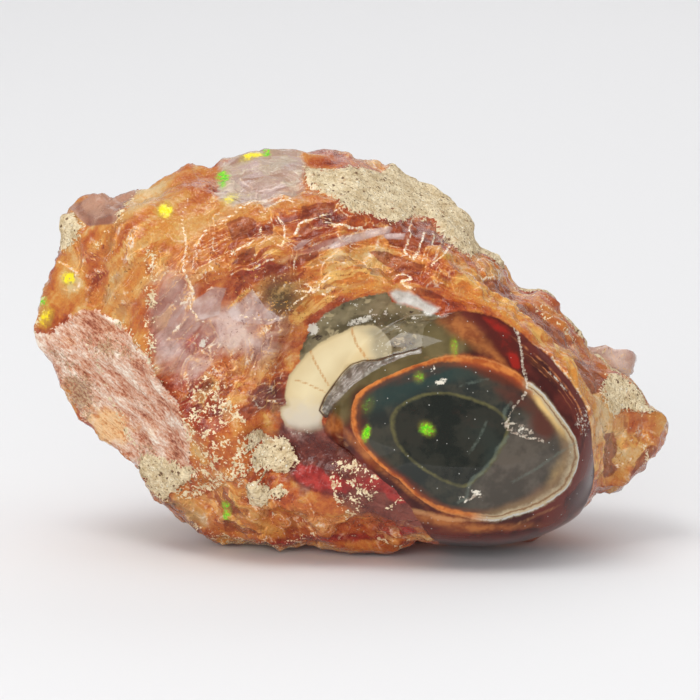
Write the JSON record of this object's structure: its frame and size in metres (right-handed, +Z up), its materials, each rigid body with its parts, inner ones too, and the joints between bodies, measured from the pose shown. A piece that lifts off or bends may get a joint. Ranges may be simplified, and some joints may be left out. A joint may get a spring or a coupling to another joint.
{
  "type": "rough opal",
  "caption": "Rough precious opal nodule with shell-like fractured faces, a smooth domed lobe showing dark concentric bands, and patches of host-rock crust.",
  "frame": {"origin": "centre of the bounding box's bottom, on the flat patch that the stone rests on", "axes": "+X to the right along the stone's length, -Y out of the broad face with the domed lobe, +Z up"},
  "size_m": [0.0418, 0.0216, 0.0259],
  "materials": {
    "honey_opal": "glassy translucent honey to red-brown opal on its broken faces, matt beige host rock where the crust is left"
  },
  "bodies": {
    "root": {"opal": "honey_opal"}
  },
  "joints": []
}
